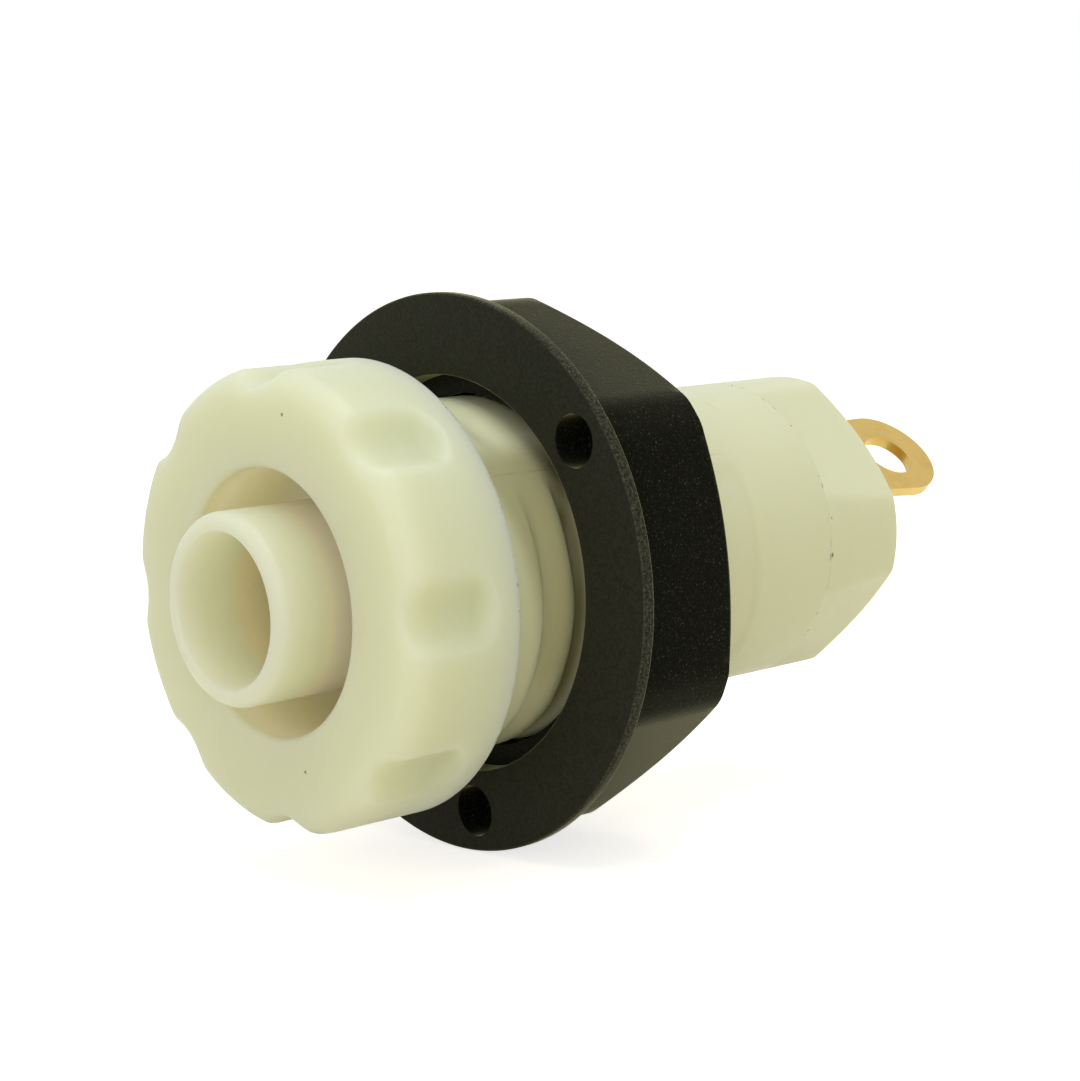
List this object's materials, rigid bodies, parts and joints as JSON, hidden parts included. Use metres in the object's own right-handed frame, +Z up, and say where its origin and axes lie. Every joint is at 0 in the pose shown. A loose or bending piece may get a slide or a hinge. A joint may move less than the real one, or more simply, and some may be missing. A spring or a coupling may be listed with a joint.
{
  "type": "banana socket",
  "caption": "Insulated panel socket for 4 mm safety plugs: grooved head with a shroud recess, coarse-threaded neck, black flanged hex nut and a gold solder tag.",
  "frame": {"origin": "on the socket's axis, in the plane of the head's seating face, which lies on the panel's front", "axes": "-Y out of the socket's mouth, +Y towards the solder tag, +Z up as in the picture"},
  "size_m": [0.019, 0.0321, 0.019],
  "materials": {
    "white_nylon": "satin, slightly translucent, unpigmented",
    "black_plastic": "fine grained moulding, worn pale at the flange's rim",
    "gold_plate": "satin gold plate on brass"
  },
  "bodies": {
    "socket": {"outer_body": "white_nylon", "inner_sleeve": "white_nylon", "contact_socket": "gold_plate", "end_cap": "white_nylon", "solder_tag": "gold_plate"},
    "nut": {"flange_nut": "black_plastic"}
  },
  "joints": [
    {"name": "nut_travel", "type": "slide", "parent": "socket", "child": "nut", "axis": [0, 1, 0], "range_m": [-0.0033, 0.0235]}
  ]
}
